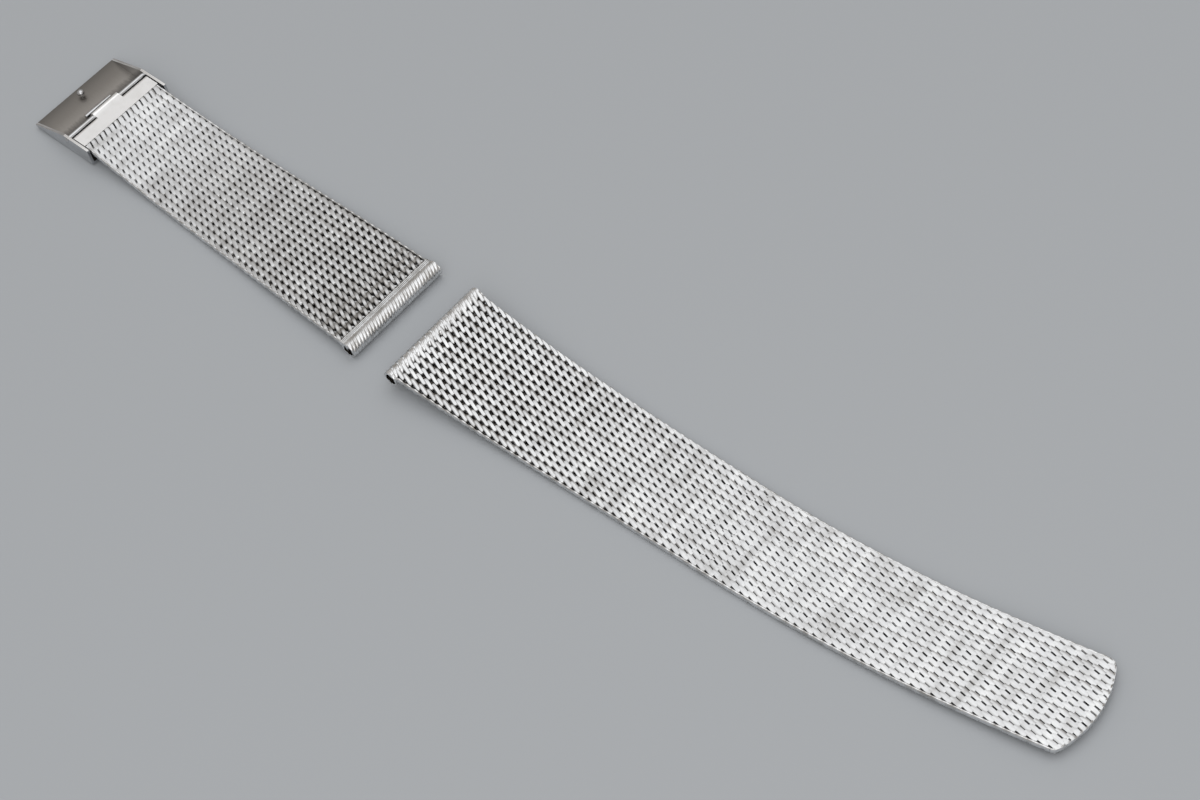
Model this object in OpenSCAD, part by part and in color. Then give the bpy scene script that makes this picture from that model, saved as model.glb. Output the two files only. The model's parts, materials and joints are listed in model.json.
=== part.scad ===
/* [Mesh] */
// Width of both halves at the watch lugs
lug_width = 20; // [18:0.5:24]
// Width of the long half past its taper
tail_width = 16.6; // [15:0.1:18]
// Width of the short half where it meets the clasp
clasp_width = 16.9; // [16:0.1:19]
// Length of the long half's taper, from the lug end
long_taper = 76; // [50:1:100]
// Length of the long half, from its lug end to its tip
long_length = 117; // [108:0.5:128]
// Turns of each coil, counted across the band
coils = 16; // [12:1:18]
// Thickness of the mesh
mesh_t = 1.2; // [1.05:0.05:1.35]
// Thickness between two rows, and of the pressed end row
web_t = 0.65; // [0.5:0.05:0.9]
// Openings across the band between two rows
web_cells = 8; // [5:1:12]
// Width of the soldered strip along each edge
rail_w = 0.4; // [0.3:0.05:0.6]
// How far the soldered strip lies below the crest of the rows
rail_drop = 0.06; // [0.02:0.01:0.15]
// Rows that bend as one stretch
run_rows = 8; // [6:1:10]
// Rows between the lug end and the first bend
lug_rows = 4; // [4:1:6]
// Rows in the stretch with the free tip
tip_rows = 8; // [5:1:8]
// Rows in the stretch that ends in the clasp's end plate
clasp_rows = 7; // [5:1:9]
// Play between the linked coil bends
link_clear = 0.12; // [0.08:0.01:0.15]

/* [Free tip] */
// Radius of the shallow arc across the tip
tip_arc_r = 17.3; // [14:0.1:30]
// Radius of the two tip corners
tip_corner_r = 1.8; // [1:0.1:3]
// How far the arc's middle lies beside the middle of the drifting band
tip_skew = 1.5; // [0:0.1:2.5]

/* [Lug loops] */
// Outer radius of the rolled end
loop_r = 1.4; // [1.3:0.05:1.8]
// Radius of the bore that takes the spring bar
bore_r = 0.95; // [0.8:0.05:1]
// Step down from the top of the short half's loop to its mesh
short_step = 0.48; // [0.3:0.02:0.6]
// Radius of the solder beads beside the short half's loop
bead_r = 0.12; // [0.08:0.01:0.16]

/* [Clasp] */
// Thickness of the folded end plate's sheet
leaf_t = 0.3; // [0.25:0.05:0.4]
// Distance from the end plate's mouth to the hinge pin
plate_reach = 4.2; // [3.8:0.1:6]
// Slit between the end plate's edge and the hinge pin
pin_slit = 0.45; // [0.3:0.05:0.8]
// Width of the knuckle in the middle of the end plate
knuckle_w = 5.8; // [4:0.1:9]
// Radius of the hinge pin
pin_r = 0.42; // [0.36:0.02:0.6]
// Radial play of the knuckle on the hinge pin
pin_play = 0.03; // [0.02:0.01:0.08]
// Thickness of the cover's floor
floor_t = 0.42; // [0.34:0.02:0.6]
// Thickness of the cover's side walls
wall_t = 0.45; // [0.4:0.05:0.9]
// Play between the mesh and each side wall
side_clear = 0.2; // [0.15:0.05:0.5]
// Room over the tail that runs through the clasp
tail_clear = 0.5; // [0.1:0.05:0.7]
// Length of the cover from the pin to its lip
cover_front = 9.1; // [7.5:0.1:11]
// Length of the cover from the pin to its open end under the mesh
cover_back = 5.5; // [5:0.1:8]
// Radius to which the cover is curved
cover_bend_r = 75; // [40:5:100]
// Width of the bite bar
bar_w = 5.7; // [4:0.1:9]
// Thickness of the bite bar along the band
bar_t = 0.65; // [0.5:0.05:1]
// Distance from the hinge pin to the bite bar
bar_at = 3; // [2:0.1:3.5]
// Radius of the nib's ball
nib_r = 0.65; // [0.4:0.05:0.7]
// Distance from the cover's lip to the nib
nib_inset = 1.9; // [1:0.1:2.5]

/* [Lying on the table] */
// Distance between the two lug bores along the band
halves_gap = 10; // [8:0.05:30]
// Sideways shift of the short half's lug end
halves_shift = 0.45; // [-5:0.05:5]
// Sideways drift of the short half up to its clasp
short_drift = 1.3; // [0:0.1:6]
// Even sideways drift of the long half over its length
long_drift = 2.8; // [0:0.1:5]
// Further sideways sweep of the long half's second part
long_sweep = 5.6; // [0:0.1:7]

/* [Hidden] */
$fn = 48;
long_runs = 8;
short_runs = 4;

// Slope of each stretch as the band lies, from the lug to the free end, in degrees
long_tilts = [-9.5, -6, -2.7, -1, 0, 0, 0.5, 1, 2.6, 0.2];
short_tilts = [-0.3, -1.5, -2.3, -1.1, 2.6];

steel = [0.78, 0.79, 0.8];
polished = [0.86, 0.87, 0.88];
rib_r = mesh_t / 2;
link_r = rib_r - 0.03;
link_neck = 0.82;
row_pitch = long_length / (lug_rows + long_runs * run_rows + tip_rows);
link_bite = row_pitch / 2 + 0.1;
neck_end = loop_r + 0.05;
bead_places = [loop_r - 0.38, loop_r - 0.1];
run_len = run_rows * row_pitch;
lug_len = lug_rows * row_pitch - loop_r;
tip_len = tip_rows * row_pitch;
long_lens = [lug_len, for (k = [1 : long_runs]) run_len, tip_len];
clasp_len = clasp_rows * row_pitch;
short_lens = [lug_len, for (k = [1 : short_runs]) run_len, clasp_len];
short_straight = lug_rows * row_pitch + short_runs * run_len;
short_length = short_straight + clasp_len;
taper_bow = 1.25;
drift_bow = 1.4;
sweep_from = long_length / 2;
long_mid = loop_r - rib_r;
short_mid = loop_r - short_step - rib_r;
rib_chord = sqrt(pow(rib_r, 2) - pow(web_t / 2, 2));
cell_rim = 0.03;
cell_l = row_pitch - 2 * (rib_chord + cell_rim);
cell_bar = 0.45;
tip_closed_webs = 2;
wide = 2 * lug_width;
deep = 8 * mesh_t;

knuckle_r = pin_r + pin_play + leaf_t;
tongue_play = 0.03;
plate_h = web_t + 2 * tongue_play + 2 * leaf_t;
plate_edge = pin_r + pin_slit;
mouth_gap = 0.05;
mouth_depth = plate_reach - plate_edge - plate_h / 2 - leaf_t;
tongue_len = mouth_depth - 0.2;
tongue_root = 0.6;
cover_in_w = clasp_width + 2 * side_clear;
cover_out_w = cover_in_w + 2 * wall_t;
floor_drop = knuckle_r + mesh_t + tail_clear;
cover_drop = floor_drop + floor_t;
wall_top = knuckle_r;
wall_shoulder = 0.6;
bend_at = 0.5;
bend_z = cover_bend_r - cover_drop;
seat = 0.01;
pin_fit = 0.015;
pin_proud = 0.15;
bar_h = 0.8;
margin = 1;
stem_r = 0.3;
stem_h = 0.2;

function reach(lens, k) = k == 0 ? loop_r : reach(lens, k - 1) + lens[k - 1];
function walk(start, lens, tilts, k) =
    k == 0 ? start : walk(start, lens, tilts, k - 1) + lens[k - 1] * [cos(tilts[k - 1]), sin(tilts[k - 1])];
function mid_start(tilt, up) = [-up * sin(tilt), up * cos(tilt)];
function long_half_w(s) =
    (tail_width + (lug_width - tail_width) * pow(max(0, 1 - s / long_taper), 2)) / 2;
function short_half_w(s) =
    (clasp_width + (lug_width - clasp_width) * (1 - pow(min(1, s / short_length), taper_bow))) / 2;
function half_w(short, s) = short ? short_half_w(s) : long_half_w(s);
function short_mid_y(s) = -short_drift * (1 - pow(max(0, 1 - s / short_straight), drift_bow));
function long_mid_y(s) =
    long_drift * s / long_length + long_sweep * pow(max(0, s - sweep_from) / (long_length - sweep_from), 2);
function mid_y(short, s) = short ? short_mid_y(s) : long_mid_y(s);
function floor_at(x, r) = bend_z - sqrt(r * r - pow(x - bend_at, 2));

long_points = [for (k = [0 : long_runs + 2]) walk(mid_start(long_tilts[0], long_mid), long_lens, long_tilts, k)];
table_z = long_points[4][1] - rib_r;
short_z = table_z + loop_r;
short_open = [for (k = [0 : short_runs + 1]) walk(mid_start(short_tilts[0], short_mid), short_lens, short_tilts, k)];
clasp_z = table_z + cover_drop - short_z;
clasp_tilt = asin((clasp_z - short_open[short_runs + 1][1]) / clasp_len);
all_short_tilts = concat(short_tilts, [clasp_tilt]);
mesh_end = short_open[short_runs + 1] + clasp_len * [cos(clasp_tilt), sin(clasp_tilt)];
short_points = concat(short_open, [mesh_end]);
clasp_x = mesh_end[0] + plate_reach;
clasp_y = short_mid_y(short_length);

echo(long_points = long_points);
echo(short_points = [for (p = short_points) [-halves_gap - p[0], p[1] + short_z]]);
echo(short_bore = [-halves_gap, halves_shift, short_z]);
echo(clasp_pin = [-halves_gap - clasp_x, halves_shift - clasp_y, clasp_z + short_z]);
echo(table_z = table_z);

module across(h) {
    rotate([90, 0, 0])
        linear_extrude(height = h, center = true)
            children();
}

module place_long(k) {
    translate([long_points[k][0], 0, long_points[k][1]])
        rotate([0, -long_tilts[k], 0])
            children();
}

module place_short_half() {
    translate([-halves_gap, halves_shift, short_z])
        rotate([0, 0, 180])
            children();
}

module place_short(k) {
    place_short_half()
        translate([short_points[k][0], 0, short_points[k][1]])
            rotate([0, -all_short_tilts[k], 0])
                children();
}

module place_clasp() {
    place_short_half()
        translate([clasp_x, clasp_y, clasp_z])
            children();
}

module plan_strip(short, s0, x0, x1, from, to) {
    steps = 4;
    xs = [for (i = [0 : steps]) x0 + (x1 - x0) * i / steps];
    edge = [for (x = xs) [x, mid_y(short, s0 + x) + from(short, s0 + x)]];
    back = [for (i = [steps : -1 : 0]) [xs[i], mid_y(short, s0 + xs[i]) + to(short, s0 + xs[i])]];
    polygon(concat(edge, back));
}

module rows_of_coils(length, rows, x0) {
    across(wide) {
        for (i = [0 : rows - 1])
            translate([length - (i + 0.5) * row_pitch, 0])
                circle(r = rib_r);
        translate([x0, -web_t / 2])
            square([length - x0, web_t]);
    }
}

module edge_rails(short, s0, length, x0) {
    rail_t = mesh_t - 2 * rail_drop;
    translate([0, 0, -rail_t / 2])
        linear_extrude(height = rail_t) {
            plan_strip(short, s0, x0, length,
                function(h, s) half_w(h, s) - rail_w, function(h, s) half_w(h, s));
            plan_strip(short, s0, x0, length,
                function(h, s) -half_w(h, s), function(h, s) rail_w - half_w(h, s));
        }
}

module coil_bends(short, s, x, side) {
    pitch = 2 * (half_w(short, s) - rail_w / 2) / coils;
    bend_w = pitch / 2 - link_clear;
    for (i = [0 : coils - 1])
        translate([x, mid_y(short, s) + (i + 0.5 - coils / 2 + side / 4) * pitch, 0]) {
            rotate([90, 0, 0])
                cylinder(r = link_r, h = bend_w, center = true);
            translate([side > 0 ? 0 : -link_bite, -bend_w / 2, -link_neck / 2])
                cube([link_bite, bend_w, link_neck]);
        }
}

module web_openings(short, s0, length, rows, closed_webs) {
    for (i = [closed_webs : rows - 2]) {
        x = length - (i + 1) * row_pitch;
        cell_w = 2 * (half_w(short, s0 + x) - rail_w) / web_cells;
        for (j = [0 : web_cells - 1])
            translate([x, mid_y(short, s0 + x) + (j + 0.5 - web_cells / 2) * cell_w])
                square([cell_l, cell_w - cell_bar], center = true);
    }
}

module mesh_run(short, s0, length, rows, x0, starts_linked, ends_linked, closed_webs = 0) {
    difference() {
        union() {
            intersection() {
                rows_of_coils(length, rows, x0);
                translate([0, 0, -deep / 2])
                    linear_extrude(height = deep)
                        difference() {
                            plan_strip(short, s0, x0, length,
                                function(h, s) -half_w(h, s), function(h, s) half_w(h, s));
                            web_openings(short, s0, length, rows, closed_webs);
                        }
            }
            edge_rails(short, s0, length, x0);
        }
        if (starts_linked)
            across(wide) circle(r = link_r + link_clear);
        if (ends_linked)
            translate([length, 0, 0])
                across(wide) circle(r = link_r + link_clear);
    }
    if (starts_linked)
        coil_bends(short, s0, 0, 1);
    if (ends_linked)
        coil_bends(short, s0 + length, length, -1);
}

module lug_loop(mid, beads) {
    difference() {
        union() {
            across(lug_width) circle(r = loop_r);
            translate([0, -lug_width / 2, mid - rib_r])
                cube([neck_end, lug_width, mesh_t]);
            if (beads)
                for (x = bead_places)
                    translate([x, 0, mid + rib_r])
                        across(lug_width) circle(r = bead_r);
        }
        across(wide) circle(r = bore_r);
    }
}

module long_lug_loop() {
    color(steel)
        rotate([0, -long_tilts[0], 0])
            lug_loop(long_mid, false);
}

module short_lug_loop() {
    color(steel)
        place_short_half()
            rotate([0, -short_tilts[0], 0])
                lug_loop(short_mid, true);
}

module long_mesh_lug() {
    color(steel)
        place_long(0)
            mesh_run(false, loop_r, lug_len, lug_rows - 2, neck_end, false, true);
}

module long_mesh(k) {
    color(steel)
        place_long(k)
            mesh_run(false, reach(long_lens, k), run_len, run_rows, 0, true, true);
}

module tip_corner(side, half, lean) {
    edge = cos(lean) * (half + side * tip_skew) - side * sin(lean) * tip_arc_r;
    centre_r = tip_arc_r - tip_corner_r;
    centre_y = edge - tip_corner_r;
    centre_x = sqrt(pow(centre_r, 2) - pow(centre_y, 2));
    out = (tip_arc_r + margin) / centre_r;
    rotate(lean)
        mirror([0, side < 0 ? 1 : 0])
            difference() {
                polygon([
                    [centre_x, centre_y],
                    [centre_x * out, centre_y * out],
                    [centre_x * out, edge + margin],
                    [centre_x, edge + margin]
                ]);
                translate([centre_x, centre_y])
                    circle(r = tip_corner_r);
            }
}

module tip_outline(s) {
    end = s + tip_len;
    lean = atan((long_mid_y(end) - long_mid_y(end - tip_corner_r)) / tip_corner_r);
    arc_at = [tip_len - tip_arc_r, long_mid_y(end) - tip_skew];
    difference() {
        intersection() {
            translate([-mesh_t, -wide / 2])
                square([tip_len + mesh_t, wide]);
            translate(arc_at)
                circle(r = tip_arc_r, $fn = 180);
        }
        for (side = [-1, 1])
            translate(arc_at)
                tip_corner(side, long_half_w(end), lean);
    }
}

module long_mesh_tip() {
    k = long_runs + 1;
    color(steel)
        place_long(k)
            intersection() {
                mesh_run(false, reach(long_lens, k), tip_len, tip_rows, 0, true, false, tip_closed_webs);
                translate([0, 0, -deep / 2])
                    linear_extrude(height = deep)
                        tip_outline(reach(long_lens, k));
            }
}

module short_mesh_lug() {
    color(steel)
        place_short(0)
            mesh_run(true, loop_r, lug_len, lug_rows - 2, neck_end, false, true);
}

module short_mesh(k) {
    color(steel)
        place_short(k)
            mesh_run(true, reach(short_lens, k), run_len, run_rows, 0, true, true);
}

module short_mesh_clasp() {
    k = short_runs + 1;
    color(steel) {
        place_short(k)
            mesh_run(true, reach(short_lens, k), clasp_len, clasp_rows, 0, true, false);
        place_clasp()
            translate([-plate_reach - tongue_root, -clasp_width / 2, -web_t / 2])
                cube([tongue_root + tongue_len, clasp_width, web_t]);
    }
}

module end_plate() {
    fold_x = -plate_edge - plate_h / 2;
    color(polished)
        place_clasp()
            difference() {
                union() {
                    across(clasp_width)
                        difference() {
                            union() {
                                translate([mouth_gap - plate_reach, -plate_h / 2])
                                    square([fold_x + plate_reach - mouth_gap, plate_h]);
                                translate([fold_x, 0])
                                    circle(d = plate_h);
                            }
                            translate([-plate_reach - margin, leaf_t - plate_h / 2])
                                square([mouth_depth + margin, plate_h - 2 * leaf_t]);
                        }
                    across(knuckle_w) {
                        circle(r = knuckle_r);
                        translate([fold_x, -plate_h / 2])
                            square([-fold_x, plate_h]);
                    }
                }
                across(wide)
                    circle(r = pin_r + pin_play);
            }
}

module clasp_pin() {
    color(polished)
        place_clasp()
            rotate([90, 0, 0]) {
                cylinder(r = pin_r, h = cover_out_w, center = true);
                for (m = [0, 1])
                    mirror([0, 0, m])
                        translate([0, 0, cover_out_w / 2])
                            cylinder(r1 = pin_r, r2 = pin_r - pin_proud, h = pin_proud);
            }
}

module cover_side() {
    intersection() {
        translate([bend_at, bend_z])
            circle(r = cover_bend_r, $fn = 720);
        polygon([
            [-cover_back, -cover_bend_r],
            [-cover_back, wall_top],
            [wall_shoulder, wall_top],
            [cover_front, floor_at(cover_front, cover_bend_r - floor_t)],
            [cover_front, -cover_bend_r]
        ]);
    }
}

module clasp_cover() {
    color(polished)
        place_clasp()
            difference() {
                across(cover_out_w)
                    cover_side();
                across(cover_in_w)
                    translate([bend_at, bend_z])
                        circle(r = cover_bend_r - floor_t, $fn = 720);
                across(wide)
                    circle(r = pin_r + pin_fit);
            }
}

module bite_bar() {
    bar_z = floor_at(bar_at, cover_bend_r - floor_t);
    color(polished)
        place_clasp()
            across(bar_w)
                intersection() {
                    translate([bar_at, bar_z]) {
                        translate([-bar_t / 2, -bar_h])
                            square([bar_t, 2 * bar_h - bar_t / 2]);
                        translate([0, bar_h - bar_t / 2])
                            circle(d = bar_t);
                    }
                    translate([bend_at, bend_z])
                        circle(r = cover_bend_r - floor_t - seat, $fn = 720);
                }
}

module lip_nib() {
    nib_x = cover_front - nib_inset;
    nib_z = floor_at(nib_x + stem_r, cover_bend_r - floor_t - seat);
    color(polished)
        place_clasp()
            translate([nib_x, 0, nib_z]) {
                cylinder(r = stem_r, h = stem_h + nib_r);
                translate([0, 0, stem_h + nib_r])
                    sphere(r = nib_r);
            }
}

long_lug_loop();
long_mesh_lug();
long_mesh(1);  // long_mesh_1
long_mesh(2);  // long_mesh_2
long_mesh(3);  // long_mesh_3
long_mesh(4);  // long_mesh_4
long_mesh(5);  // long_mesh_5
long_mesh(6);  // long_mesh_6
long_mesh(7);  // long_mesh_7
long_mesh(8);  // long_mesh_8
long_mesh_tip();
short_lug_loop();
short_mesh_lug();
short_mesh(1);  // short_mesh_1
short_mesh(2);  // short_mesh_2
short_mesh(3);  // short_mesh_3
short_mesh(4);  // short_mesh_4
short_mesh_clasp();
end_plate();
clasp_pin();
clasp_cover();
lip_nib();
bite_bar();
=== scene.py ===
import json
import math
import bpy
import numpy as np
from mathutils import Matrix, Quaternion, Vector


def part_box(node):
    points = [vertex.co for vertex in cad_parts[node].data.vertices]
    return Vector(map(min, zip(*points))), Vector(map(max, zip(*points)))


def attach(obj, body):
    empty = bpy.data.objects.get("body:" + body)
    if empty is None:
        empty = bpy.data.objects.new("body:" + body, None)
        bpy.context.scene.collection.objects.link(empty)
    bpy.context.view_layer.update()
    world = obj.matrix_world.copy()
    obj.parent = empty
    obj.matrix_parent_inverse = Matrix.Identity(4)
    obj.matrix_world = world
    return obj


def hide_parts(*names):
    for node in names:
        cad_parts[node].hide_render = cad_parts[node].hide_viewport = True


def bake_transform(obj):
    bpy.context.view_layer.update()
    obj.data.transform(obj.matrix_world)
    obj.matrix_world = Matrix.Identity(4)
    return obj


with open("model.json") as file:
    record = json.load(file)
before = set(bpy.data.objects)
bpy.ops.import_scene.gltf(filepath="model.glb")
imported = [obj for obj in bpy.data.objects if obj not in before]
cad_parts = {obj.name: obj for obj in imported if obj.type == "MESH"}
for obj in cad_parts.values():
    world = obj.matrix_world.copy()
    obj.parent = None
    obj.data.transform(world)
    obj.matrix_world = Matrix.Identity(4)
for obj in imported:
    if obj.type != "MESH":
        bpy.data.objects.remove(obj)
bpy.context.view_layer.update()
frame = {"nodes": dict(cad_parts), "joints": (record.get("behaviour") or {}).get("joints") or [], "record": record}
print("frame loaded")

mm = 0.001
joints = {joint["name"]: np.array(joint.get("pos_m", (0, 0, 0))) for joint in frame["joints"]}
mounts = {mount["name"]: np.array(mount["pos_m"]) for mount in frame["record"]["mounts"]}
claspPin = joints["cover_hinge"]
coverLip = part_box("clasp_cover")[0].x
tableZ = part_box("clasp_cover")[0].z

# the weave of both halves, in metres; turns are counted across the band, rows along it
mesh = {
    "rowPitch": 117 / 76 * mm,  # the long half has 76 rows on 117 mm
    "turns": 16,
    "thickness": 1.2 * mm,
    "wire": 0.56 * mm,
    "ground": 0.09 * mm,        # ground off the crest of every turn
    "woundPitch": 1.1 * mm,     # from turn to turn as the model coil is wound; each row then gets its own
    "pointsPerBend": 5,
    "sides": 8,
    "rolledWide": (1.18, 1.6),  # a wire's width in its own diameters, at the lug and at the worn end
    "pressed": 0.13,            # the worn end's crests are pressed flat by this further share of the height
    "edgeInset": 0.2 * mm,      # from the band's edge to the outermost turn
    "edgeCover": 0.24 * mm,     # the coils' cut ends stay this far inside the edge
    "bendRows": 4,              # a joint's bend spreads over this many rows on either side of it
    "stepsPerKnot": 41,         # points on the band's line round each joint
    "smoothUpTo": 38,           # degrees between faces
}
crestHeight = mesh["thickness"] / 2 - mesh["ground"]

# the mesh's end, rolled round the bore for the spring bar
lugRoll = {
    "width": 20 * mm,
    "radius": 1.4 * mm,
    "bore": 0.95 * mm,
    "rows": 2,
    "measuredAt": 0.86,         # the rolled length is measured at this share of the radius
    "pressTurn": 0.5,           # radians over which the rolled mesh is pressed down to the wall's thickness
}

# points closer than this are merged: on a bent wire, and on the sheet parts and the rolled tube
wireGap = 0.0001 * mm
sheetGap = 0.001 * mm


def deselectAll():
    bpy.ops.object.select_all(action="DESELECT")


def makeActive(piece):
    deselectAll()
    piece.select_set(True)
    bpy.context.view_layer.objects.active = piece


def pointsOf(piece):
    flat = np.zeros(len(piece.data.vertices) * 3)
    piece.data.vertices.foreach_get("co", flat)
    return flat.reshape(-1, 3)


def setPoints(piece, points):
    piece.data.vertices.foreach_set("co", np.asarray(points, float).ravel())
    piece.data.update()


def setMark(piece, name, values):
    # one number kept for each point of the piece
    mark = piece.data.attributes.new(name, "FLOAT", "POINT")
    mark.data.foreach_set("value", values.astype(np.float32))


def joinAll(parts, name):
    deselectAll()
    for part in parts:
        part.select_set(True)
    bpy.context.view_layer.objects.active = parts[0]
    bpy.ops.object.join()
    whole = bpy.context.view_layer.objects.active
    whole.name = name
    whole.data.name = name
    return whole


def copyOf(piece):
    twin = piece.copy()
    twin.data = piece.data.copy()
    bpy.context.scene.collection.objects.link(twin)
    return twin


def smoothUpTo(piece, degrees):
    makeActive(piece)
    bpy.ops.object.shade_smooth_by_angle(angle=math.radians(degrees))


def bendWire(name, points, radius, sides):
    # a round wire through the points, turned into a closed mesh
    line = bpy.data.curves.new(name, "CURVE")
    line.dimensions = "3D"
    line.bevel_depth = radius
    line.bevel_resolution = sides // 2 - 2      # a resolution of 0 has four sides
    line.use_fill_caps = True
    spline = line.splines.new("POLY")
    spline.points.add(len(points) - 1)
    for spot, place in zip(spline.points, points):
        spot.co = (*place, 1)
    wire = bpy.data.objects.new(name, line)
    bpy.context.scene.collection.objects.link(wire)
    makeActive(wire)
    bpy.ops.object.convert(target="MESH")
    wire = bpy.context.view_layer.objects.active
    bpy.ops.object.mode_set(mode="EDIT")
    bpy.ops.mesh.select_all(action="SELECT")
    bpy.ops.mesh.remove_doubles(threshold=wireGap)
    bpy.ops.mesh.normals_make_consistent(inside=False)
    bpy.ops.object.mode_set(mode="OBJECT")
    return wire


def spotsWithin(points, path):
    # for each point of a bent wire's surface, the nearest point of the path inside it
    path = np.array(path)
    gaps = np.linalg.norm(points[:, None] - path[None], axis=2)
    return path[gaps.argmin(axis=1)]


def coilPath(turns):
    # one flattened spiral: straight legs above and below, round bends at both sides
    height = (mesh["thickness"] - mesh["wire"]) / 2
    reach = mesh["rowPitch"] / 2 + mesh["wire"] / 2      # a bend hooks inside the next coil's bend
    leg = reach - height
    legTurn = leg / mesh["rowPitch"]                     # share of a turn that one leg drifts sideways
    bendTurn = 0.5 - legTurn
    steps = mesh["pointsPerBend"]
    loop = []
    for side in (1, -1):
        for i in range(3):                               # a leg has its two ends and its middle
            loop.append((side * leg * (i - 1), side * height, legTurn * i / 2))
        for i in range(1, steps):
            angle = math.pi * i / steps
            loop.append((side * (leg + height * math.sin(angle)), side * height * math.cos(angle),
                         legTurn + bendTurn * i / steps))
    half = len(loop) // 2
    path = []
    for turn in range(turns):
        for i, (along, up, share) in enumerate(loop):
            drift = turn + share + (0.5 if i >= half else 0)
            path.append((along, turns / 2 - drift, up))
    return path


def makeCoil(name):
    # points keep their sideways offset from the wire's middle in metres, and that middle in turns
    pitch = mesh["woundPitch"]
    path = [(along, turn * pitch, up) for along, turn, up in coilPath(mesh["turns"])]
    coil = bendWire(name, path, mesh["wire"] / 2, mesh["sides"])
    points = pointsOf(coil)
    middles = spotsWithin(points, path)[:, 1] / pitch
    setMark(coil, "middle", middles)
    points[:, 1] = middles + points[:, 1] - middles * pitch
    points[:, 2] = np.clip(points[:, 2], -crestHeight, crestHeight)
    setPoints(coil, points)
    return coil


def wornAt(band, way):
    # from 0 at the lug, still as woven, to 1 at the far end, rolled flatter, where the weave's tone is lifted as
    # painted light
    return np.clip((way - band["wornFrom"]) / (band["wornTo"] - band["wornFrom"]), 0, 1)


def turnPitch(band, way):
    # from one turn of a coil to the next, at a way along the band
    return (band["width"](way) - 2 * mesh["edgeInset"]) / mesh["turns"]


def bandLine(knots, start):
    # the band's middle line: it bends smoothly from the middle of one stretch to the middle of the next
    knots = np.array(knots, float)
    lengths = np.linalg.norm(np.diff(knots, axis=0), axis=1)
    at = start + np.concatenate([[0], np.cumsum(lengths)])
    ways, spots = [], []
    for i in range(1, len(knots) - 1):
        first, last = i == 1, i == len(knots) - 2
        bendFrom = knots[0] if first else (knots[i - 1] + knots[i]) / 2
        bendTo = knots[-1] if last else (knots[i] + knots[i + 1]) / 2
        wayFrom = at[0] if first else (at[i - 1] + at[i]) / 2
        wayTo = at[-1] if last else (at[i] + at[i + 1]) / 2
        share = np.linspace(0, 1, mesh["stepsPerKnot"])[:, None]
        arc = (1 - share) ** 2 * bendFrom + 2 * share * (1 - share) * knots[i] + share ** 2 * bendTo
        run = np.concatenate([[0], np.cumsum(np.linalg.norm(np.diff(arc, axis=0), axis=1))])
        ways.append(wayFrom + (wayTo - wayFrom) * run[:-1] / run[-1])
        spots.append(arc[:-1])
    ways.append([at[-1]])
    spots.append(knots[-1:])
    way, spot = np.concatenate(ways), np.concatenate(spots)
    slope = np.gradient(spot, way, axis=0)
    slope /= np.linalg.norm(slope, axis=1)[:, None]
    return {"way": way, "spot": spot, "slope": slope, "joints": at[1:-1], "end": at[-1], "start": start}


def layOnBand(points, band):
    # from (way along the band, turns across it, height above its middle) to the place in the frame
    way, turns, height = points[:, 0], points[:, 1], points[:, 2]
    x = np.interp(way, band["way"], band["spot"][:, 0])
    z = np.interp(way, band["way"], band["spot"][:, 1])
    slopeX = np.interp(way, band["way"], band["slope"][:, 0])
    slopeZ = np.interp(way, band["way"], band["slope"][:, 1])
    past = np.maximum(way - band["end"], 0)
    x, z = x + past * slopeX - height * slopeZ, z + past * slopeZ + height * slopeX
    # behind the roll's crest the mesh goes round the bore, pressed thinner
    angle = (band["start"] - way) / (lugRoll["radius"] * lugRoll["measuredAt"])
    pressed = np.clip(angle / lugRoll["pressTurn"], 0, 1)
    full = mesh["thickness"] / 2
    thinner = 1 + ((lugRoll["radius"] - lugRoll["bore"]) / mesh["thickness"] - 1) * pressed
    crest = band["rise"] + full + (lugRoll["radius"] - band["rise"] - full) * pressed
    radius = crest - (full - height) * thinner
    startX, startZ = band["slope"][0]
    rolledX = radius * (-startZ * np.cos(angle) - startX * np.sin(angle))
    rolledZ = radius * (startX * np.cos(angle) - startZ * np.sin(angle))
    rolled = way < band["start"]
    x, z = np.where(rolled, rolledX, x), np.where(rolled, rolledZ, z)
    y = band["middle"](way) + turns * turnPitch(band, way)
    side = band["facing"]
    return np.stack([side * x, side * y, z], axis=1) + band["bore"]


# the long half: it tapers from the lug, then sweeps sideways to its round tip
longHalf = {
    "rows": 76,
    "bends": 9,
    "facing": 1,                # it runs from its lug towards +X
    "lowered": 0.0,             # the mesh's face leaves the roll level with its top
    "tailWidth": 16.6 * mm,
    "taper": 76 * mm,           # from the lug to where the tail's width begins
    "drift": 2.8 * mm,          # sideways, evenly over the whole length
    "sweep": 5.6 * mm,          # sideways besides, over the second half of the length
    "tailTilt": 0.2,            # degrees that the last stretch rises
    "tipArc": 17.3 * mm,
    "tipCorner": 1.8 * mm,
    "tipSkew": 1.5 * mm,        # the arc's middle lies this far beside the band's middle
    "tipRows": 4,               # the rows that the round tip may cut
    "tipTrim": 0.1 * mm,        # wires and edge beads end this far inside the tip's outline
    "rimInset": 0.02 * mm,      # the tip's rim begins this far inside the band's edges
    "wornFrom": 18 * mm,
    "wornTo": 62 * mm,
    # beside its lug this half gets none of the painted dark reflection and painted highlights
    "dulled": 0.0,
}
# the short half: it drifts a little sideways as it lies, up to the clasp
shortHalf = {
    "rows": 43,
    "bends": 5,
    "facing": -1,               # towards -X
    "lowered": 0.48 * mm,       # rolled upwards: the mesh leaves the roll this much lower
    "claspWidth": 16.9 * mm,
    "taperBow": 1.25,           # 1 would be straight edges
    "drift": 1.3 * mm,          # sideways, over the first rows
    "driftBow": 1.4,
    "driftRows": 36,
    "plateReach": 4.2 * mm,     # from the mesh's end on to the clasp's hinge
    "wornFrom": 8 * mm,
    "wornTo": 58 * mm,
    # beside its lug this half gets a painted dark reflection with painted highlights
    "dulled": 0.95,
}


def rowsLong(rows):
    return rows * mesh["rowPitch"]


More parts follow.
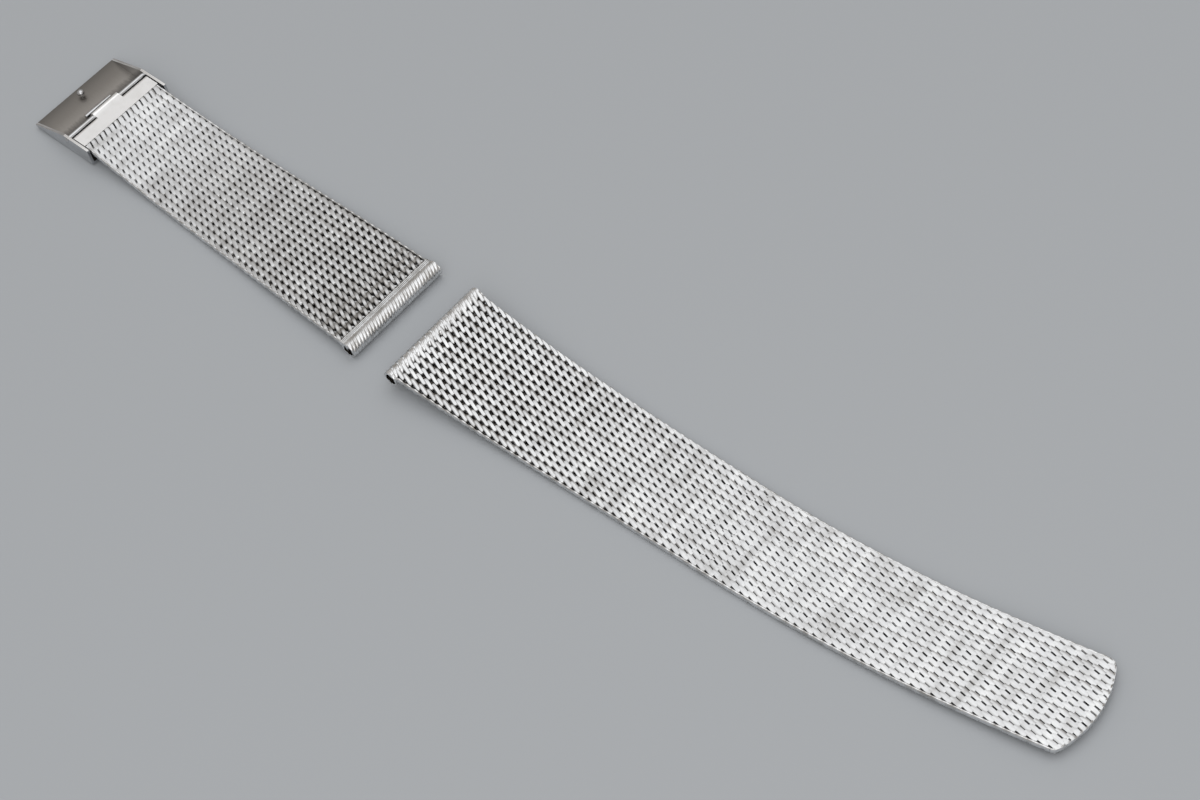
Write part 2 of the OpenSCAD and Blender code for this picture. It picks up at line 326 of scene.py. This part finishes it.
def longWidth(way):
    ease = np.clip(1 - way / longHalf["taper"], 0, 1) ** 2
    return longHalf["tailWidth"] + (lugRoll["width"] - longHalf["tailWidth"]) * ease


def longMiddle(way):
    length = rowsLong(longHalf["rows"])
    late = np.clip(2 * way / length - 1, 0, None)
    return longHalf["drift"] * way / length + longHalf["sweep"] * late ** 2


def shortWidth(way):
    ease = 1 - np.clip(way / rowsLong(shortHalf["rows"]), 0, 1) ** shortHalf["taperBow"]
    return shortHalf["claspWidth"] + (lugRoll["width"] - shortHalf["claspWidth"]) * ease


def shortMiddle(way):
    ease = np.clip(1 - way / rowsLong(shortHalf["driftRows"]), 0, 1) ** shortHalf["driftBow"]
    return -shortHalf["drift"] * (1 - ease)


def makeBand(prefix, half, bore, endTilt, width, middle):
    # a half's line through its joints, with what places the weave along it
    facing = half["facing"]
    rise = lugRoll["radius"] - mesh["thickness"] / 2 - half["lowered"]
    bends = [joints[f"{prefix}_bend_{k + 1}"] - bore for k in range(half["bends"])]
    knots = [(facing * bend[0], bend[2]) for bend in bends]
    # the first stretch touches the circle of radius rise round the bore
    tilt = math.atan2(knots[0][1], knots[0][0]) - math.asin(rise / math.hypot(*knots[0]))
    knots.insert(0, (-rise * math.sin(tilt), rise * math.cos(tilt)))
    start = lugRoll["radius"]
    used = start + sum(math.dist(a, b) for a, b in zip(knots, knots[1:]))
    left = rowsLong(half["rows"]) - used
    knots.append((knots[-1][0] + left * math.cos(endTilt), knots[-1][1] + left * math.sin(endTilt)))
    band = bandLine(knots, start)
    band.update(bore=bore, facing=facing, rise=rise, width=width, middle=middle,
                wornFrom=half["wornFrom"], wornTo=half["wornTo"], dulled=half["dulled"])
    return band


lastBend = joints[f"short_bend_{shortHalf['bends']}"]
claspTilt = math.atan2(claspPin[2] - lastBend[2], lastBend[0] - claspPin[0] - shortHalf["plateReach"])
tailTilt = math.radians(longHalf["tailTilt"])
longBand = makeBand("long", longHalf, mounts["long_lug_bore"], tailTilt, longWidth, longMiddle)
shortBand = makeBand("short", shortHalf, mounts["short_lug_bore"], claspTilt, shortWidth, shortMiddle)
print("band lines drawn", round(longBand["end"] / mm, 1), round(shortBand["end"] / mm, 1))


def srgb(code):
    # a hex colour as the shader's linear values
    parts = [int(code[i:i + 2], 16) / 255 for i in (1, 3, 5)]
    line = [c / 12.92 if c <= 0.04045 else ((c + 0.055) / 1.055) ** 2.4 for c in parts]
    return (*line, 1)


def addNode(material, kind, settings=None, links=None):
    # one node with its settings, its links given as {input: output socket}
    node = material.node_tree.nodes.new(kind)
    for key, value in (settings or {}).items():
        if isinstance(key, int) or key in node.inputs:
            node.inputs[key].default_value = value
        else:
            setattr(node, key, value)
    for key, source in (links or {}).items():
        material.node_tree.links.new(source, node.inputs[key])
    return node


def newMaterial(name):
    material = bpy.data.materials.new(name)
    material.use_nodes = True
    material.node_tree.nodes.clear()
    return material


def finishMaterial(material, shader):
    out = addNode(material, "ShaderNodeOutputMaterial")
    material.node_tree.links.new(shader.outputs[0], out.inputs[0])
    return material


def finishSteel(steel, tone, rough, relief, strength, depth):
    # how every steel here ends: bare metal with its own tone, roughness and fine relief
    bump = addNode(steel, "ShaderNodeBump", {"Strength": strength, "Distance": depth},
                   {"Height": relief.outputs["Fac"]})
    shader = addNode(steel, "ShaderNodeBsdfPrincipled", {"Metallic": 1.0},
                     {"Base Color": tone.outputs["Color"], "Roughness": rough.outputs[0],
                      "Normal": bump.outputs[0]})
    return finishMaterial(steel, shader)


def setRamp(node, stops):
    ramp = node.color_ramp
    while len(ramp.elements) < len(stops):
        ramp.elements.new(0.5)
    for element, (place, code) in zip(ramp.elements, stops):
        element.position = place
        element.color = srgb(code)


# in the materials below a pattern's scale is how many of it there are to the millimetre
def drawnSteelWire():
    # stainless wire, drawn, woven and then ground flat: bright crests, flanks deep in the weave dull and darker
    # with dirt and painted shade
    steel = newMaterial("drawnSteelWire")
    crest = addNode(steel, "ShaderNodeAttribute", {"attribute_name": "crest"})
    place = addNode(steel, "ShaderNodeTexCoord")
    onPiece = {"Vector": place.outputs["Object"]}
    # clouds of wear, some 2 mm along the band and 8 mm across it
    stretch = addNode(steel, "ShaderNodeMapping", {"Scale": (2.6, 0.7, 1.0)}, onPiece)
    cloud = addNode(steel, "ShaderNodeTexNoise", {"Scale": 0.18 / mm, "Detail": 2.0},
                    {"Vector": stretch.outputs[0]})
    worn = addNode(steel, "ShaderNodeMath", {"operation": "MULTIPLY_ADD", 1: 0.7, 2: -0.35},
                   {0: cloud.outputs["Fac"]})
    depth = addNode(steel, "ShaderNodeMath", {"operation": "ADD"},
                    {0: crest.outputs["Fac"], 1: worn.outputs[0]})
    # the tone follows the crest mark: dark deep in the weave for dirt and painted shade, pale on the crests
    tone = addNode(steel, "ShaderNodeValToRGB", links={"Fac": depth.outputs[0]})
    setRamp(tone, [(0.12, "#4a453f"), (0.45, "#9c9a97"), (0.8, "#d3d4d5"), (1.0, "#e2e3e3")])
    rough = addNode(steel, "ShaderNodeMapRange",
                    {"From Min": 0.3, "From Max": 1.0, "To Min": 0.42, "To Max": 0.27},
                    {"Value": depth.outputs[0]})
    # scratches, drawn coarser than real ones so that they show
    scratch = addNode(steel, "ShaderNodeTexNoise", {"Scale": 9 / mm, "Detail": 2.0}, onPiece)
    return finishSteel(steel, tone, rough, scratch, strength=0.12, depth=0.02 * mm)


def polishedSteelSheet():
    # stamped stainless sheet, buffed: a soft mirror with fine straight buffing lines and a few dull spots
    steel = newMaterial("polishedSteelSheet")
    place = addNode(steel, "ShaderNodeTexCoord")
    onPiece = {"Vector": place.outputs["Object"]}
    # the lines run along the clasp, drawn coarser than real ones so that they show
    stretch = addNode(steel, "ShaderNodeMapping", {"Scale": (0.9 / mm, 12 / mm, 0.9 / mm)}, onPiece)
    lines = addNode(steel, "ShaderNodeTexNoise", {"Scale": 1.0, "Detail": 3.0},
                    {"Vector": stretch.outputs[0]})
    spots = addNode(steel, "ShaderNodeTexNoise", {"Scale": 0.4 / mm, "Detail": 3.0}, onPiece)
    tone = addNode(steel, "ShaderNodeValToRGB", links={"Fac": spots.outputs["Fac"]})
    setRamp(tone, [(0.3, "#bdbdbd"), (0.6, "#cdced0")])
    rough = addNode(steel, "ShaderNodeMapRange",
                    {"From Min": 0.3, "From Max": 0.75, "To Min": 0.13, "To Max": 0.2},
                    {"Value": spots.outputs["Fac"]})
    return finishSteel(steel, tone, rough, lines, strength=0.1, depth=0.01 * mm)


def satinPlatedSteel():
    # the clasp's end plate and knuckle: plated sheet with a fine even satin finish, rubbed bright in places
    steel = newMaterial("satinPlatedSteel")
    place = addNode(steel, "ShaderNodeTexCoord")
    onPiece = {"Vector": place.outputs["Object"]}
    brightPatches = addNode(steel, "ShaderNodeTexNoise", {"Scale": 0.5 / mm, "Detail": 3.0}, onPiece)
    tone = addNode(steel, "ShaderNodeValToRGB", links={"Fac": brightPatches.outputs["Fac"]})
    setRamp(tone, [(0.3, "#f2f2f1"), (0.6, "#fbfbfb")])
    rough = addNode(steel, "ShaderNodeMapRange",
                    {"From Min": 0.3, "From Max": 0.7, "To Min": 0.46, "To Max": 0.36},
                    {"Value": brightPatches.outputs["Fac"]})
    # the satin's grain, drawn coarser than a real one so that it shows
    grain = addNode(steel, "ShaderNodeTexNoise", {"Scale": 12 / mm, "Detail": 2.0}, onPiece)
    return finishSteel(steel, tone, rough, grain, strength=0.08, depth=0.01 * mm)


def satinSteelFloor():
    # the channel's unpolished inside: bright-rolled sheet, duller than the buffed outside, pale in the middle and
    # darker towards the lip and beside the hinge, painted shade where the inside stands in its own shadow
    steel = newMaterial("satinSteelFloor")
    place = addNode(steel, "ShaderNodeTexCoord")
    onPiece = {"Vector": place.outputs["Object"]}
    # the rolling's grain runs along the clasp, drawn coarser than a real one so that it shows
    stretch = addNode(steel, "ShaderNodeMapping", {"Scale": (0.7 / mm, 7 / mm, 0.7 / mm)}, onPiece)
    grain = addNode(steel, "ShaderNodeTexNoise", {"Scale": 1.0, "Detail": 3.0},
                    {"Vector": stretch.outputs[0]})
    where = addNode(steel, "ShaderNodeSeparateXYZ", links={0: place.outputs["Object"]})
    fromLip = addNode(steel, "ShaderNodeMapRange", {"From Min": coverLip, "From Max": claspPin[0]},
                      {"Value": where.outputs["X"]})
    grainAndShade = addNode(steel, "ShaderNodeMath", {"operation": "MULTIPLY_ADD", 1: 0.16},
                     {0: grain.outputs["Fac"], 2: fromLip.outputs[0]})
    # the darker ends of this ramp are painted shade
    tone = addNode(steel, "ShaderNodeValToRGB", links={"Fac": grainAndShade.outputs[0]})
    setRamp(tone, [(0.1, "#6c6965"), (0.4, "#837f7a"), (0.62, "#98948f"), (0.76, "#6f6c69"),
                   (0.88, "#454341")])
    rough = addNode(steel, "ShaderNodeMapRange",
                    {"From Min": 0.3, "From Max": 0.7, "To Min": 0.42, "To Max": 0.5},
                    {"Value": grain.outputs["Fac"]})
    return finishSteel(steel, tone, rough, grain, strength=0.04, depth=0.01 * mm)


def solderedEdge():
    # silver solder run along the cut wire ends and filed smooth
    steel = newMaterial("solderedEdge")
    place = addNode(steel, "ShaderNodeTexCoord")
    onPiece = {"Vector": place.outputs["Object"]}
    lumps = addNode(steel, "ShaderNodeTexNoise", {"Scale": 0.7 / mm, "Detail": 3.0}, onPiece)
    tone = addNode(steel, "ShaderNodeValToRGB", links={"Fac": lumps.outputs["Fac"]})
    setRamp(tone, [(0.32, "#bdbcba"), (0.58, "#e6e7e8")])
    rough = addNode(steel, "ShaderNodeMapRange",
                    {"From Min": 0.3, "From Max": 0.7, "To Min": 0.2, "To Max": 0.36},
                    {"Value": lumps.outputs["Fac"]})
    return finishSteel(steel, tone, rough, lumps, strength=0.35, depth=0.06 * mm)


wireSteel, sheetSteel, edgeSteel = drawnSteelWire(), polishedSteelSheet(), solderedEdge()
floorSteel, plateSteel = satinSteelFloor(), satinPlatedSteel()
coilModel = makeCoil("coilModel")
print("one coil wound,", len(coilModel.data.polygons), "faces")


def tipLimit(aside):
    # how far the tip reaches, at a distance from the middle line: a wide arc between two small rounded
    # corners, leaning with the sweep
    end, arc, corner = longBand["end"], longHalf["tipArc"], longHalf["tipCorner"]
    half, skew = longHalf["tailWidth"] / 2, longHalf["tipSkew"]
    lean = math.atan((longMiddle(end) - longMiddle(end - corner)) / corner)
    sine, cosine = math.sin(lean), math.cos(lean)
    across = cosine * (aside + skew) - sine * arc
    side = np.where(across > 0, 1, -1)
    inner = cosine * (half + side * skew) - side * sine * arc - corner
    centre = np.sqrt((arc - corner) ** 2 - inner ** 2)
    turned = np.sqrt(np.maximum(corner ** 2 - np.maximum(np.abs(across) - inner, 0) ** 2, 0))
    atCorner = np.abs(across) > inner * arc / (arc - corner)
    along = np.where(atCorner, centre + turned, np.sqrt(np.maximum(arc ** 2 - across ** 2, 0)))
    return end - arc + along * cosine - across * sine


# the wires' tone, from 0 deep between them, darker with dirt and painted shade, to 1 on their crests
wear = {
    "tailLift": 0.85,            # how far the worn end's depth is lifted to the tone on the next line: painted light on the tail
    "tailLiftTone": 0.8,
    "darkReflectionReach": 10 * mm,       # beside a soldered lug the weave is painted dark, a painted dark reflection, which clears over this length
    "darkReflectionFade": 0.7,
    "brightPatches": {"bright": 1.25, "fall": 1.15, "reach": 0.7 * mm, "least": 0.24},   # painted highlights there: bright at a leg's middle, dim towards its ends
}


def weaveRows(name, band, rows):
    # copies the wound coil to each row and lays it on the band
    middles = np.zeros(len(coilModel.data.vertices))
    coilModel.data.attributes["middle"].data.foreach_get("value", middles)
    model = pointsOf(coilModel)
    # painted highlights for the weave beside a lug, bright at each leg's middle
    brightPatches = wear["brightPatches"]
    spots = brightPatches["bright"] - brightPatches["fall"] * np.abs(model[:, 0]) / brightPatches["reach"]
    spots = np.maximum(spots, brightPatches["least"])
    coils = []
    for row in rows:
        points = model.copy()
        points[:, 0] += rowsLong(row + 0.5)
        worn = wornAt(band, points[:, 0])
        # the crest mark: low in the weave darker with dirt and painted shade, lifted on the worn end as painted
        # light, and beside a lug a painted dark reflection with painted highlights
        dirtAndPaintedLight = np.abs(points[:, 2]) / (mesh["thickness"] / 2)
        dirtAndPaintedLight += wear["tailLift"] * worn * (wear["tailLiftTone"] - dirtAndPaintedLight)
        nearLug = np.clip(1 - (points[:, 0] - band["start"]) / wear["darkReflectionReach"], 0, 1)
        dirtAndPaintedLight += band["dulled"] * nearLug ** wear["darkReflectionFade"] * (spots - dirtAndPaintedLight)
        points[:, 2] = np.clip(points[:, 2] * (1 + mesh["pressed"] * worn), -crestHeight, crestHeight)
        narrow, broad = mesh["rolledWide"]
        pitch = turnPitch(band, points[:, 0])
        points[:, 1] = middles + (points[:, 1] - middles) * (narrow + (broad - narrow) * worn) / pitch
        if band is longBand and row >= longHalf["rows"] - longHalf["tipRows"]:
            points[:, 0] = np.minimum(points[:, 0], tipLimit(points[:, 1] * pitch) - longHalf["tipTrim"])
        reach = (band["width"](points[:, 0]) / 2 - mesh["edgeCover"]) / pitch
        points[:, 1] = np.clip(points[:, 1], -reach, reach)
        coil = copyOf(coilModel)
        setMark(coil, "crest", dirtAndPaintedLight)
        setPoints(coil, layOnBand(points, band))
        coils.append(coil)
    weave = joinAll(coils, name)
    weave.data.materials.clear()
    weave.data.materials.append(wireSteel)
    smoothUpTo(weave, mesh["smoothUpTo"])
    return weave


def edgeStrip(name, band, side, start, end):
    # the bead of solder along one long edge, a little swollen at each row, less so where it is worn
    strip = {"width": 0.5 * mm, "height": 1.26 * mm, "top": 0.56 * mm, "swell": (0.2, 0.05),
             "stepsPerRow": 6, "leastSteps": 4, "sides": 12, "smoothUpTo": 50}
    rows = (end - start) / mesh["rowPitch"]
    count = max(strip["leastSteps"], round(rows * strip["stepsPerRow"]))
    # the wire is bent with a radius of 1 and gets its size in the next lines
    wire = bendWire(name, [(way, 0, 0) for way in np.linspace(start, end, count + 1)], 1.0, strip["sides"])
    points = pointsOf(wire)
    way = points[:, 0].copy()
    woven, worn = strip["swell"]
    lumpy = woven + (worn - woven) * wornAt(band, way)
    swell = 1 + lumpy * (np.cos(2 * math.pi * way / mesh["rowPitch"]) - 1)
    across = points[:, 1] * strip["width"] / 2 * swell
    height = np.clip(points[:, 2] * strip["height"] / 2 * swell, -strip["top"], strip["top"])
    pitch = turnPitch(band, way)
    edge = (band["width"](way) / 2 - strip["width"] / 2) / pitch
    setPoints(wire, layOnBand(np.stack([way, side * edge + across / pitch, height], axis=1), band))
    wire.data.materials.append(edgeSteel)
    smoothUpTo(wire, strip["smoothUpTo"])
    return wire


def tipRim():
    # the filed rim of solder round the free tip
    rim = {"width": 0.44 * mm, "height": 1.16 * mm, "top": 0.56 * mm, "swell": 0.2, "steps": 160,
           "sides": 12, "smoothUpTo": 50}
    half = longHalf["tailWidth"] / 2 - longHalf["rimInset"]
    aside = half * np.sin(np.linspace(-math.pi / 2, math.pi / 2, rim["steps"]))
    line = np.stack([tipLimit(aside), aside], axis=1)
    along = np.gradient(line, axis=0)
    along /= np.linalg.norm(along, axis=1)[:, None]
    line += rim["width"] / 2 * np.stack([-along[:, 1], along[:, 0]], axis=1)
    path = [(way, across, 0) for way, across in line]
    wire = bendWire("tipRim", path, rim["width"] / 2, rim["sides"])
    points = pointsOf(wire)
    # the wire of every coil ends in one bead of the rim
    centres = spotsWithin(points, path)
    pitch = turnPitch(longBand, longBand["end"])
    swell = 1 + rim["swell"] * (np.cos(2 * math.pi * centres[:, 1] / pitch) - 1) / 2
    points = centres + (points - centres) * swell[:, None]
    points[:, 1] /= pitch
    points[:, 2] = np.clip(points[:, 2] * rim["height"] / rim["width"], -rim["top"], rim["top"])
    setPoints(wire, layOnBand(points, longBand))
    wire.data.materials.append(edgeSteel)
    smoothUpTo(wire, rim["smoothUpTo"])
    return wire


def meetings(band):
    # ways along the band where one piece ends and the next begins
    marks = band["joints"]
    return [band["start"]] + [(a + b) / 2 for a, b in zip(marks, marks[1:])] + [band["end"]]


def spotOn(band, way):
    return Vector(layOnBand(np.array([[way, 0.0, 0.0]]), band)[0])


def bendingPieces(prefix, band, nodes, lastEnds):
    # one piece round each joint, bending from the run before it to the run behind it
    cuts = meetings(band)
    for k in range(len(cuts) - 1):
        low, high = cuts[k], cuts[k + 1]
        rows = [row for row in range(lugRoll["rows"], round(band["end"] / mesh["rowPitch"]))
                if low < rowsLong(row + 0.5) < high]
        parts = [weaveRows(f"{prefix}Weave{k + 1}", band, rows)]
        for side, lastEnd in zip((1, -1), lastEnds):
            parts.append(edgeStrip(f"{prefix}Edge{k + 1}", band, side, low, min(high, lastEnd)))
        if band is longBand and k == len(cuts) - 2:
            parts.append(tipRim())
        piece = joinAll(parts, f"{prefix}Mesh{k + 1}")
        half = rowsLong(mesh["bendRows"])
        middle = band["joints"][k]
        spotOn(band, max(middle - half, band["start"]))
        spotOn(band, min(middle + half, band["end"]))
        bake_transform(piece)
        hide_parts(*([nodes[0], nodes[1]] if k == 0 else [nodes[k + 1]]))
        print(piece.name, "woven,", len(rows), "rows,", len(piece.data.polygons), "faces")


def inOrder(half, first, run, last):
    # a half's bodies or nodes from its lug on: one at the lug, the runs between the joints, one at the end
    return [first] + [f"{run}_{k}" for k in range(1, half["bends"])] + [last]


longNodes = inOrder(longHalf, "long_mesh_lug", "long_mesh", "long_mesh_tip")
shortNodes = inOrder(shortHalf, "short_mesh_lug", "short_mesh", "short_mesh_clasp")
tipSides = np.array((1, -1)) * (longHalf["tailWidth"] / 2 - longHalf["rimInset"])
bendingPieces("long", longBand, longNodes, tipLimit(tipSides) - longHalf["tipTrim"])
bendingPieces("short", shortBand, shortNodes, [shortBand["end"]] * 2)


def seamLine(name, band, past):
    # one run of solder across the band, beside the rolled end
    seam = {"radius": 0.11 * mm, "inset": 0.1 * mm, "sunk": 0.02 * mm, "wave": 0.02 * mm,
            "waviness": 5, "steps": 60, "sides": 8}      # waviness in radians to the millimetre
    half = lugRoll["width"] / 2 - seam["inset"]
    height = mesh["thickness"] / 2 - seam["sunk"]
    path = [(past, y, height + seam["wave"] * math.sin(y / mm * seam["waviness"]))
            for y in np.linspace(-1, 1, seam["steps"] + 1) * half]
    wire = bendWire(name, path, seam["radius"], seam["sides"])
    points = pointsOf(wire)
    points[:, 0] += band["start"]
    points[:, 1] /= turnPitch(band, points[:, 0])
    setPoints(wire, layOnBand(points, band))
    wire.data.materials.append(edgeSteel)
    makeActive(wire)
    bpy.ops.object.shade_smooth()
    return wire


def lugLoop(name, band, body, node, skin, rows, seams):
    # the mesh rolled into a tube: its wires go on round it, pressed flat and run full of solder
    # skin is how far inside the roll's radius the tube's face lies, seams how far past the roll's crest
    # the runs of solder lie
    tubeForm = {"around": 72, "stepsPerTurn": 14, "wiresPerTurn": 2, "groove": 0.1 * mm, "slant": 0.45,
                "hollow": 1.6, "wall": 0.1 * mm, "inset": 0.01 * mm, "smoothUpTo": 50}
    deselectAll()
    # the flat grid reaches from -1 to 1 each way: round the tube along X, across the band along Y
    bpy.ops.mesh.primitive_grid_add(x_subdivisions=tubeForm["around"],
                                    y_subdivisions=mesh["turns"] * tubeForm["stepsPerTurn"], size=2)
    tube = bpy.context.view_layer.objects.active
    points = pointsOf(tube)
    angle, across = points[:, 0] * math.pi, points[:, 1] * mesh["turns"] / 2
    wires = tubeForm["wiresPerTurn"] * (across + tubeForm["slant"] * angle)
    groove = 0.5 - 0.5 * np.cos(2 * math.pi * wires)
    radius = lugRoll["radius"] - skin - tubeForm["groove"] * groove ** tubeForm["hollow"]
    half = lugRoll["width"] / 2 - tubeForm["inset"]
    setPoints(tube, np.stack([radius * np.sin(angle), points[:, 1] * half, radius * np.cos(angle)], axis=1))
    makeActive(tube)
    bpy.ops.object.mode_set(mode="EDIT")
    bpy.ops.mesh.select_all(action="SELECT")
    bpy.ops.mesh.remove_doubles(threshold=sheetGap)
    bpy.ops.object.mode_set(mode="OBJECT")
    solid = tube.modifiers.new("wall", "SOLIDIFY")
    solid.thickness = tubeForm["wall"]
    solid.offset = -1
    bpy.ops.object.modifier_apply(modifier="wall")
    # the wall's inner points move in to the bore
    points = pointsOf(tube)
    inner = np.arange(len(points)) >= len(points) // 2
    reach = np.hypot(points[:, 0], points[:, 2])
    points[inner, 0] *= lugRoll["bore"] / reach[inner]
    points[inner, 2] *= lugRoll["bore"] / reach[inner]
    side = band["facing"]
    middle = band["middle"](np.array([lugRoll["radius"]]))[0]
    points = points * (side, side, 1) + np.array((0, side * middle, 0))
    setPoints(tube, points + band["bore"])
    tube.data.materials.append(edgeSteel)
    tube.data.materials.append(wireSteel)
    for face in tube.data.polygons:
        if inner[list(face.vertices)].all():
            face.material_index = 1      # the bore's wall takes the dull wire steel, dark there
    smoothUpTo(tube, tubeForm["smoothUpTo"])
    coils = weaveRows(f"{name}Coils", band, rows)
    lines = [seamLine(f"{name}Seam", band, past) for past in seams]
    loop = joinAll([coils, tube] + lines, name)
    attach(loop, body)
    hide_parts(node)
    print(name, "rolled,", len(loop.data.polygons), "faces")


lugLoop("longLugLoop", longBand, "long_lug_end", "long_lug_loop",
        skin=0.04 * mm, rows=range(lugRoll["rows"]), seams=[])
lugLoop("shortLugLoop", shortBand, "short_lug_end", "short_lug_loop",
        skin=0.0, rows=range(1, lugRoll["rows"]), seams=[1.04 * mm, 1.3 * mm, 1.56 * mm])
deselectAll()
coilModel.select_set(True)
bpy.ops.object.delete()


def coverFinish(face):
    # which of the cover's steels a face shows: its floor keeps the rolled surface, the flat tops of the walls take
    # the pale plate steel as a painted highlight; facing is how far upwards a face looks, 1 for straight up
    cover = {"insideHalf": 8.6 * mm, "floorFacing": 0.7, "topFacing": 0.95, "topOverPin": 0.5 * mm}
    offset = np.array(face.center) - claspPin
    if abs(offset[1]) < cover["insideHalf"] and face.normal.z > cover["floorFacing"] and offset[2] < 0:
        return 1
    if face.normal.z > cover["topFacing"] and offset[2] > cover["topOverPin"]:
        return 2
    return 0


def buffedPart(node, name, body, steels, edge, faceFinish=None):
    # a copy of the sheet part with its sharp edges broken, as buffing leaves them; angles in degrees
    buffing = {"flatWithin": 0.02, "sharpFrom": 40, "segments": 2, "smoothUpTo": 35}
    part = copyOf(frame["nodes"][node])
    part.parent = None
    part.name = name
    for key in list(part.keys()):
        del part[key]
    makeActive(part)
    bpy.ops.object.mode_set(mode="EDIT")
    bpy.ops.mesh.select_all(action="SELECT")
    bpy.ops.mesh.remove_doubles(threshold=sheetGap)
    bpy.ops.mesh.dissolve_limited(angle_limit=math.radians(buffing["flatWithin"]))
    bpy.ops.object.mode_set(mode="OBJECT")
    bevel = part.modifiers.new("edge", "BEVEL")
    bevel.width = edge
    bevel.segments = buffing["segments"]
    bevel.limit_method = "ANGLE"
    bevel.angle_limit = math.radians(buffing["sharpFrom"])
    bevel.use_clamp_overlap = True
    bpy.ops.object.modifier_apply(modifier="edge")
    part.data.materials.clear()
    for steel in steels:
        part.data.materials.append(steel)
    if faceFinish:
        for face in part.data.polygons:
            face.material_index = faceFinish(face)
    smoothUpTo(part, buffing["smoothUpTo"])
    part.modifiers.new("flats", "WEIGHTED_NORMAL").keep_sharp = True
    bpy.ops.object.modifier_apply(modifier="flats")
    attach(part, body)
    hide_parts(node)
    print(name, "buffed,", len(part.data.polygons), "faces")


buffedPart("end_plate", "endPlate", "clasp_base", [plateSteel], edge=0.06 * mm)
coverSteels = [sheetSteel, floorSteel, plateSteel]
buffedPart("clasp_cover", "claspCover", "cover", coverSteels, edge=0.08 * mm, faceFinish=coverFinish)
buffedPart("clasp_pin", "claspPin", "cover", [sheetSteel], edge=0.03 * mm)
buffedPart("bite_bar", "biteBar", "cover", [sheetSteel], edge=0.05 * mm)
buffedPart("lip_nib", "lipNib", "cover", [sheetSteel], edge=0.02 * mm)


def studio():
    # a plain pale table in an even room, brighter overhead than at the sides
    room = {"tableColour": "#abafb3", "tableSize": 3.0, "tableMiddle": (30 * mm, 0), "tableGap": 0.02 * mm,
            "skyStrength": 1.2,
            "sky": [(0.0, "#a8a199"), (0.3, "#9a9692"), (0.71, "#bbb9b7"), (0.79, "#ececed"),
                    (1.0, "#ffffff")]}
    deselectAll()
    bpy.ops.mesh.primitive_plane_add(size=room["tableSize"],
                                     location=(*room["tableMiddle"], tableZ - room["tableGap"]))
    table = bpy.context.view_layer.objects.active
    table.name = "table"
    cloth = newMaterial("satinTable")
    place = addNode(cloth, "ShaderNodeTexCoord")
    haze = addNode(cloth, "ShaderNodeTexNoise", {"Scale": 0.012 / mm, "Detail": 2.0},
                   {"Vector": place.outputs["Object"]})
    rough = addNode(cloth, "ShaderNodeMapRange", {"To Min": 0.42, "To Max": 0.5},
                    {"Value": haze.outputs["Fac"]})
    shader = addNode(cloth, "ShaderNodeBsdfPrincipled", {"Base Color": srgb(room["tableColour"])},
                     {"Roughness": rough.outputs[0]})
    table.data.materials.append(finishMaterial(cloth, shader))
    world = bpy.data.worlds.new("room")
    world.use_nodes = True
    # the room's light goes by how high a direction points
    direction = addNode(world, "ShaderNodeTexCoord")
    height = addNode(world, "ShaderNodeSeparateXYZ", links={0: direction.outputs["Generated"]})
    sky = addNode(world, "ShaderNodeValToRGB", links={"Fac": height.outputs["Z"]})
    setRamp(sky, room["sky"])
    backdrop = world.node_tree.nodes["Background"]
    backdrop.inputs["Strength"].default_value = room["skyStrength"]
    world.node_tree.links.new(sky.outputs["Color"], backdrop.inputs["Color"])
    bpy.context.scene.world = world


def softbox(name, towards, distance, size, power):
    # an area lamp that faces the middle of the bracelet from a given direction
    bracelet = Vector((20 * mm, 0, tableZ))
    lamp = bpy.data.lights.new(name, "AREA")
    lamp.shape = "RECTANGLE"
    lamp.size, lamp.size_y = size
    lamp.energy = power
    holder = bpy.data.objects.new(name, lamp)
    bpy.context.scene.collection.objects.link(holder)
    way = Vector(towards).normalized()
    holder.location = bracelet + way * distance
    holder.rotation_euler = way.to_track_quat("Z", "Y").to_euler()


def photoCamera():
    # the photograph's viewpoint, worked out from the rows and edges of both halves
    view = {
        "place": (182.84 * mm, -118.97 * mm, 283.95 * mm),
        "aim": (27.06 * mm, 7.37 * mm, -2.66 * mm),
        "roll": -12.19,
        "lens": 69.68,
        "sensor": 36.0,
        "seesFrom": 10 * mm,
        "seesTo": 20.0,
    }
    eye = bpy.data.cameras.new("photoCamera")
    eye.lens, eye.sensor_width = view["lens"], view["sensor"]
    eye.clip_start, eye.clip_end = view["seesFrom"], view["seesTo"]
    holder = bpy.data.objects.new("photoCamera", eye)
    bpy.context.scene.collection.objects.link(holder)
    holder.location = view["place"]
    look = Vector(view["aim"]) - Vector(view["place"])
    tilt = Quaternion((0, 0, 1), math.radians(view["roll"]))
    holder.rotation_euler = (look.to_track_quat("-Z", "Y") @ tilt).to_euler()
    bpy.context.scene.camera = holder


studio()
# a weak lamp nearly overhead and a little behind, and a wide one from the camera's side
softbox("backLight", towards=(-0.16, 0.36, 0.92), distance=0.7, size=(0.48, 0.46), power=0.16)
softbox("frontFill", towards=(0.6, -0.6, 0.7), distance=1.0, size=(0.8, 0.8), power=2.0)
photoCamera()
bpy.context.scene.view_settings.view_transform = "Standard"
print("camera and light set")
